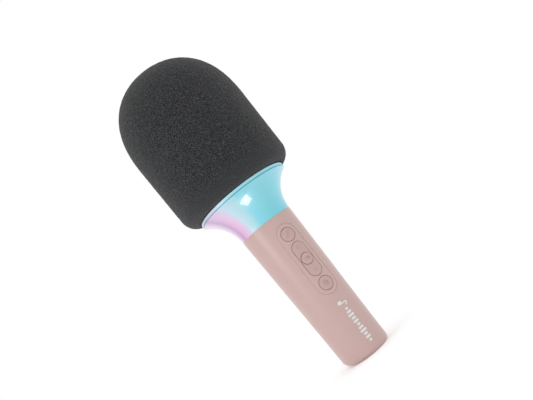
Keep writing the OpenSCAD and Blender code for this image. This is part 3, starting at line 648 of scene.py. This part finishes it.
# %% A lamp for the ring to mirror
PATCH_OUT, PATCH_HEIGHT = 57 * MM, 5 * MM
PATCH_SIZE, PATCH_WATTS = 42 * MM, 0.1
front = Vector((back.x, back.y, 0)).normalized()
patch_place = front * PATCH_OUT + Vector((0, 0, PATCH_HEIGHT))
patch = area_light("ring_patch", patch_place, patch_place + Vector((0, 0, 1)), PATCH_SIZE, PATCH_WATTS)
patch.visible_camera = patch.visible_diffuse = False
mirrors = bpy.data.collections.new("mirrors")
mirrors.objects.link(ring)
patch.light_linking.receiver_collection = mirrors
print("patch lamp at", [round(v / MM) for v in patch.location])

# %% [markdown]
# ## The handle
# The CAD shell already has the right shape, with its two kinds of base edge and the opening for the
# buttons. It is copied and its loose triangles are welded, so that it can be shaded as one smooth moulding
# with crisp edges.

# %% Weld a copy of the handle
def welded_copy(node, name):
    """A copy of a CAD node as one welded mesh, free of its body."""
    bpy.ops.object.select_all(action="DESELECT")
    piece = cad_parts[node].copy()
    piece.data = piece.data.copy()
    for key in list(piece.keys()):
        del piece[key]
    bpy.context.scene.collection.objects.link(piece)
    piece.parent = None
    piece.matrix_world = Matrix.Identity(4)
    piece.name = piece.data.name = name
    edit(piece)
    bpy.ops.mesh.customdata_custom_splitnormals_clear()
    bpy.ops.mesh.remove_doubles(threshold=WELD)
    leave_edit()
    return piece


handle = welded_copy("handle_shell", "handle_body")
smooth(handle, 32)
dress(handle, soft_pink, "microphone", "handle_pink", "handle_shell")

# %% [markdown]
# ## The button panel, made flat and then bent
# The panel and its keys are cut from flat blocks: pill shapes are easy to draw, cut and round on a plane.
# Only then is each piece sliced into narrow strips and bent round the handle's cone, so the rounding stays
# even and the face follows the handle exactly.

# %% Flat blocks, cutters and the bend
CURVE_POINTS = 96
STRIP = 0.55 * MM


def pick(piece, kind, test):
    """Selects the vertices, edges or faces that pass a test, in edit mode."""
    bpy.ops.mesh.select_mode(type=kind)
    bpy.ops.mesh.select_all(action="DESELECT")
    mesh = bmesh.from_edit_mesh(piece.data)
    parts = {"VERT": mesh.verts, "EDGE": mesh.edges, "FACE": mesh.faces}[kind]
    parts.ensure_lookup_table()
    for part in parts:
        if test(part):
            part.select_set(True)
    mesh.select_flush_mode()
    bmesh.update_edit_mesh(piece.data)


def block(name, length, width, x, z, front, back, points=CURVE_POINTS, turn=0.0):
    """A flat pill-shaped block that stands up: front and back are distances out of the handle's surface."""
    bpy.ops.object.select_all(action="DESELECT")
    bpy.ops.mesh.primitive_circle_add(
        vertices=points, radius=width / 2, fill_type="NGON", location=(0, 0, 0),
        rotation=(math.pi / 2, math.pi / points, 0),
    )
    piece = bpy.context.object
    piece.name = piece.data.name = name
    bpy.ops.object.transform_apply(rotation=True)
    edit(piece)
    if length > width:
        for way in (1, -1):
            pick(piece, "VERT", lambda v: v.co.z * way > 0)
            bpy.ops.transform.translate(value=(0, 0, way * (length - width) / 2))
    bpy.ops.mesh.select_all(action="SELECT")
    bpy.ops.mesh.extrude_region_move(TRANSFORM_OT_translate={"value": (0, front - back, 0)})
    bpy.ops.mesh.select_all(action="SELECT")
    bpy.ops.mesh.normals_make_consistent(inside=False)
    leave_edit()
    piece.matrix_world = Matrix.Translation((x, -front, z)) @ Matrix.Rotation(turn, 4, "Y")
    bpy.ops.object.transform_apply(location=True, rotation=True)
    return piece


def boolean(piece, other, operation):
    """Cuts another block out of a piece, or adds it to the piece."""
    step = piece.modifiers.new("boolean", "BOOLEAN")
    step.object = other
    step.operation = operation
    step.solver = "EXACT"
    bpy.context.view_layer.objects.active = piece
    bpy.ops.object.modifier_apply(modifier=step.name)
    bpy.data.objects.remove(other, do_unlink=True)


def round_front(piece, front, radius):
    """Rounds the edges round a flat piece's front face."""
    edit(piece)
    pick(
        piece, "EDGE",
        lambda e: all(abs(v.co.y + front) < WELD for v in e.verts) and e.calc_face_angle(0) > 0.5,
    )
    bpy.ops.mesh.bevel(offset=radius, segments=4, affect="EDGES", clamp_overlap=False)
    leave_edit()


def bend_on_handle(piece):
    """Slices a flat piece into upright strips and bends them round the handle's cone."""
    edit(piece)
    widest = max(abs(v.co.x) for v in bmesh.from_edit_mesh(piece.data).verts)
    cuts = int(widest / STRIP)
    for k in range(-cuts, cuts + 1):
        bpy.ops.mesh.select_all(action="SELECT")
        bpy.ops.mesh.bisect(plane_co=(k * STRIP, 0, 0), plane_no=(1, 0, 0))
    leave_edit()
    for v in piece.data.vertices:
        v.co.y = -math.sqrt((handle_radius(v.co.z) - v.co.y) ** 2 - v.co.x ** 2)
    smooth(piece, 32)


def join(piece, *others):
    """Makes several blocks one object."""
    bpy.ops.object.select_all(action="DESELECT")
    for other in others:
        other.select_set(True)
    piece.select_set(True)
    bpy.context.view_layer.objects.active = piece
    bpy.ops.object.join()
    return piece


# %% [markdown]
# ## Panel and keys
# The panel is a long pill with a round opening at each end and a pill-shaped one between them. The keys
# stand a little out of it, with a fine gap all round. The two volume keys are the ends of the middle pill,
# hollowed for the play key between them.

# %% Make the panel
PANEL_L, PANEL_W, PANEL_T = 49.1 * MM, 13.4 * MM, 1.4 * MM
ROUND_D, PILL_L, PILL_W, PLAY_D = 8.8 * MM, 23.6 * MM, 8.8 * MM, 7 * MM
ROUND_PITCH, KEY_GAP = 17.6 * MM, 0.2 * MM
KEY_PROUD, PLAY_PROUD, KEY_T = 0.15 * MM, 0.6 * MM, 1.6 * MM
EDGE = 0.3 * MM
CUT_FRONT, CUT_BACK = 2 * MM, -4 * MM
panel_z = (panel_low.z + panel_high.z) / 2
panel = block("pill_panel", PANEL_L, PANEL_W, 0, panel_z, 0, -PANEL_T)
for length, dz in ((ROUND_D, ROUND_PITCH), (PILL_L, 0), (ROUND_D, -ROUND_PITCH)):
    boolean(panel, block("cutter", length, ROUND_D, 0, panel_z + dz, MM, -3 * MM), "DIFFERENCE")
round_front(panel, 0, EDGE * 0.6)
bend_on_handle(panel)
dress(panel, soft_pink, "microphone", "panel_pink", "button_panel")

# %% [markdown]
# ## Raised symbols
# Each key has a plain raised symbol, as such toys have: a wand for the voice effect, plus and minus for the
# volume, a play triangle with a pause, and the common power sign. They are small blocks joined to the key
# before it is bent. Where two strokes cross, one stands a hair higher, so that their faces don't coincide.

# %% Make the keys and their symbols
MARK_RISE, MARK_SINK = 0.28 * MM, 0.2 * MM


def mark(x, z, length, width, top, turn=0.0, points=24):
    """One stroke of a symbol, on a key whose face is at top."""
    return block("stroke", length, width, x, z, top + MARK_RISE, top - MARK_SINK, points, turn)


def round_key(name, z, marks):
    key = block(name, 0, ROUND_D - 2 * KEY_GAP, 0, z, KEY_PROUD, KEY_PROUD - KEY_T)
    round_front(key, KEY_PROUD, EDGE)
    join(key, *marks)
    bend_on_handle(key)
    return key


def volume_key(name, way, marks):
    key = block(name, PILL_L - 2 * KEY_GAP, PILL_W - 2 * KEY_GAP, 0, panel_z, KEY_PROUD, KEY_PROUD - KEY_T)
    cutter = block("cutter", 0, PLAY_D + 2 * KEY_GAP, 0, panel_z, CUT_FRONT, CUT_BACK)
    boolean(key, cutter, "DIFFERENCE")
    far = PILL_L / math.sqrt(2) - KEY_GAP / 2
    half = block("cutter", 0, 2 * PILL_L, 0, panel_z - way * far, CUT_FRONT, CUT_BACK, points=4)
    boolean(key, half, "DIFFERENCE")
    round_front(key, KEY_PROUD, EDGE * 0.5)
    join(key, *marks)
    bend_on_handle(key)
    return key


STROKE, THIN_STROKE = 0.55 * MM, 0.42 * MM
CROSSING = KEY_PROUD + 0.01 * MM
effect_z, power_z = panel_z + ROUND_PITCH, panel_z - ROUND_PITCH
SIGN_L = 2.3 * MM
sign_dz = (PLAY_D + PILL_L) / 4 + 0.4 * MM
wand = [
    mark(-0.5 * MM, effect_z - 0.5 * MM, 3.2 * MM, STROKE, KEY_PROUD, math.radians(40)),
    mark(0.95 * MM, effect_z + 1.3 * MM, 1.5 * MM, THIN_STROKE, KEY_PROUD),
    mark(0.95 * MM, effect_z + 1.3 * MM, 1.5 * MM, THIN_STROKE, CROSSING, math.radians(90)),
]
plus = [
    mark(0, panel_z + sign_dz, SIGN_L, STROKE, KEY_PROUD),
    mark(0, panel_z + sign_dz, SIGN_L, STROKE, CROSSING, math.radians(90)),
]
minus = [mark(0, panel_z - sign_dz, SIGN_L, STROKE, KEY_PROUD, math.radians(90))]
triangle = mark(-0.7 * MM, panel_z, 0, 2.4 * MM, PLAY_PROUD, math.radians(30), 3)
pause = [mark(x * MM, panel_z, 2 * MM, 0.45 * MM, PLAY_PROUD) for x in (0.85, 1.6)]
power_ring = mark(0, power_z, 0, 3.4 * MM, KEY_PROUD, points=48)
boolean(power_ring, mark(0, power_z, 0, 2.5 * MM, KEY_PROUD + MM, points=48), "DIFFERENCE")
boolean(power_ring, mark(0, power_z, 0, 2.5 * MM, KEY_PROUD, points=48), "DIFFERENCE")
power_bar = mark(0, power_z + 1.1 * MM, 2 * MM, 0.5 * MM, KEY_PROUD)

effect_key = round_key("effect_key", effect_z, wand)
volume_up_key = volume_key("volume_up_key", 1, plus)
volume_down_key = volume_key("volume_down_key", -1, minus)
power_key = round_key("power_key", power_z, [power_ring, power_bar])
play_key = block("play_key", 0, PLAY_D, 0, panel_z, PLAY_PROUD, PLAY_PROUD - KEY_T)
round_front(play_key, PLAY_PROUD, EDGE * 1.2)
join(play_key, triangle, *pause)
bend_on_handle(play_key)
for key in (effect_key, volume_up_key, play_key, volume_down_key, power_key):
    body = key.name.replace("_key", "")
    dress(key, key_pink, body, "button_pink", body + "_button")

# %% [markdown]
# ## A printed mark
# Such toys carry a white print on the handle. Here it is a plain musical note over a row of sound-wave
# bars: thin flat shapes, bent on the handle like the keys, that stand hardly out of it.

# %% Print the note and the sound wave
PRINT_RISE, PRINT_SINK = 0.03 * MM, 0.1 * MM
WAVE = (1.8, 3.1, 4.3, 2.9, 3.7, 2.4, 3.4, 4.4, 2.7, 3.5, 2.0)
WAVE_TOP, WAVE_PITCH, BAR_W = 28.9 * MM, 2.18 * MM, 1.35 * MM


def ink(x, z, length, width, turn=0.0, points=32):
    return block("ink", length, width, x, z, PRINT_RISE, -PRINT_SINK, points, turn)


bars = [ink(0, WAVE_TOP - k * WAVE_PITCH, tall * MM, BAR_W, math.pi / 2) for k, tall in enumerate(WAVE)]
note = [
    ink(-1.5 * MM, 33.6 * MM, 2.6 * MM, 2.0 * MM, math.radians(70)),
    ink(0.6 * MM, 32.75 * MM, 4.6 * MM, 0.6 * MM, math.pi / 2),
    ink(2.2 * MM, 31.7 * MM, 2.6 * MM, 0.75 * MM, math.radians(25)),
]
sound_print = join(bars[0], *bars[1:], *note)
sound_print.name = sound_print.data.name = "sound_wave_print"
bend_on_handle(sound_print)
white_ink = plastic(
    "white_ink", srgb(208, 213, 210), 0.45, grain_scale=6000, grain_depth=0.004 * MM, variety=0.02,
)
dress(sound_print, white_ink, "microphone", "handle_pink")

# %% [markdown]
# ## The wire grille
# Under the foam is a dome of woven wire. A cube that is cut into small squares and cast to a sphere has no
# poles, so its cells stay even all over. Its lower half is cut off, the open edge is extruded down as the
# straight side, and the Wireframe modifier turns every edge into a wire.

# %% Weave the grille
GRILLE_CUTS, GRILLE_ROWS = 29, 29
WIRE = 0.5 * MM
grille_r = grille_high.x - WIRE / 2
grille_top = grille_high.z - WIRE / 2
grille_foot = foam_foot
bpy.ops.object.select_all(action="DESELECT")
bpy.ops.mesh.primitive_cube_add(size=2)
grille = bpy.context.object
grille.name = grille.data.name = "wire_grille"
edit(grille)
bpy.ops.mesh.subdivide(number_cuts=GRILLE_CUTS)
pick(grille, "VERT", lambda v: v.co.z < -0.01)
bpy.ops.mesh.delete(type="VERT")
leave_edit()
for v in grille.data.vertices:
    spread = Vector([math.tan(c * math.pi / 4) for c in v.co]).normalized()
    flat = math.hypot(spread.x, spread.y)
    out = flat ** (2 / FOAM_POWER - 1) if flat > WELD else 0
    v.co = (
        grille_r * spread.x * out,
        grille_r * spread.y * out,
        grille_foot + (grille_top - grille_foot) * max(0.0, spread.z) ** (2 / FOAM_POWER),
    )
edit(grille)
pick(grille, "EDGE", lambda e: e.is_boundary)
row_drop = (grille_low.z - grille_foot) / GRILLE_ROWS
for _ in range(GRILLE_ROWS):
    bpy.ops.mesh.extrude_region_move(TRANSFORM_OT_translate={"value": (0, 0, row_drop)})
bpy.ops.mesh.select_all(action="SELECT")
bpy.ops.mesh.normals_make_consistent(inside=False)
leave_edit()
weave = grille.modifiers.new("weave", "WIREFRAME")
weave.thickness = WIRE
bpy.context.view_layer.objects.active = grille
bpy.ops.object.modifier_apply(modifier=weave.name)
smooth(grille, 60)
grille_wire = metal("grille_wire", srgb(96, 98, 104), 0.35)
dress(grille, grille_wire, "microphone", "grille_steel", "grille_basket")

# %% [markdown]
# ## Finishes for the CAD parts
# Everything else keeps its CAD shape. Each material slot gets a finish of its own: moulded black and white
# plastic, drawn steel, the green board, the paper cone, rubber and wire.

# %% Finish each slot
finishes = {
    "collar_black": plastic("collar_plastic", srgb(34, 34, 36), 0.5),
    "capsule_metal": metal("capsule_tin", srgb(205, 205, 208), 0.25),
    "rubber_black": plastic("soft_rubber", srgb(26, 26, 27), 0.8, grain_scale=2500),
    "deck_black": plastic("deck_plastic", srgb(40, 40, 42), 0.55),
    "screw_steel": metal("zinc_screw", srgb(190, 192, 196), 0.3),
    "speaker_steel": metal("speaker_frame_steel", srgb(92, 94, 98), 0.4),
    "speaker_paper": plastic(
        "cone_paper", srgb(44, 44, 46), 0.85, grain_scale=1800, grain_depth=0.05 * MM, variety=0.2,
    ),
    "coil_copper": metal("coil_copper_wire", srgb(196, 122, 72), 0.3, line_scale=6000),
    "magnet_grey": plastic("ferrite", srgb(62, 62, 66), 0.6, grain_scale=2500, variety=0.15),
    "cup_white": plastic("reflector_white", srgb(236, 236, 234), 0.4, variety=0.02),
    "led_board": plastic("light_board_mask", srgb(228, 228, 222), 0.35, variety=0.03),
    "led_lens": plastic("light_lens", srgb(240, 234, 190), 0.15, Coat_Weight=0.5),
    "switch_black": plastic("switch_plastic", srgb(30, 30, 32), 0.45),
    "board_green": plastic(
        "board_mask", srgb(24, 84, 52), 0.3, grain_scale=900, variety=0.25, Coat_Weight=0.3,
    ),
    "chip_black": plastic("chip_resin", srgb(28, 28, 30), 0.5, grain_scale=8000),
    "ceramic_tan": plastic("capacitor_ceramic", srgb(176, 150, 116), 0.4),
    "can_aluminium": metal("capacitor_can", srgb(200, 202, 206), 0.3),
    "socket_ivory": plastic("socket_nylon", srgb(232, 226, 208), 0.45),
    "port_metal": metal("port_shell", srgb(196, 198, 202), 0.28),
    "cell_wrap": plastic("cell_sleeve", srgb(54, 104, 168), 0.3, variety=0.04, Coat_Weight=0.3),
    "nickel": metal("nickel_strip", srgb(204, 200, 190), 0.3),
    "cradle_white": plastic("cradle_plastic", srgb(222, 222, 218), 0.5),
    "cap_pink": plastic("cap_plastic", shade(PINK, 0.93), 0.5, variety=0.03),
    "wire_red": plastic("red_sleeve", srgb(190, 44, 38), 0.4),
    "wire_grey": plastic("grey_sleeve", srgb(168, 168, 170), 0.4),
    "wire_black": plastic("black_sleeve", srgb(34, 34, 36), 0.4),
}
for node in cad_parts.values():
    for held in node.material_slots:
        slot = held.material.name.split(".")[0]
        if slot in finishes:
            held.material = finishes[slot]
print(len(finishes), "finishes on the CAD parts")
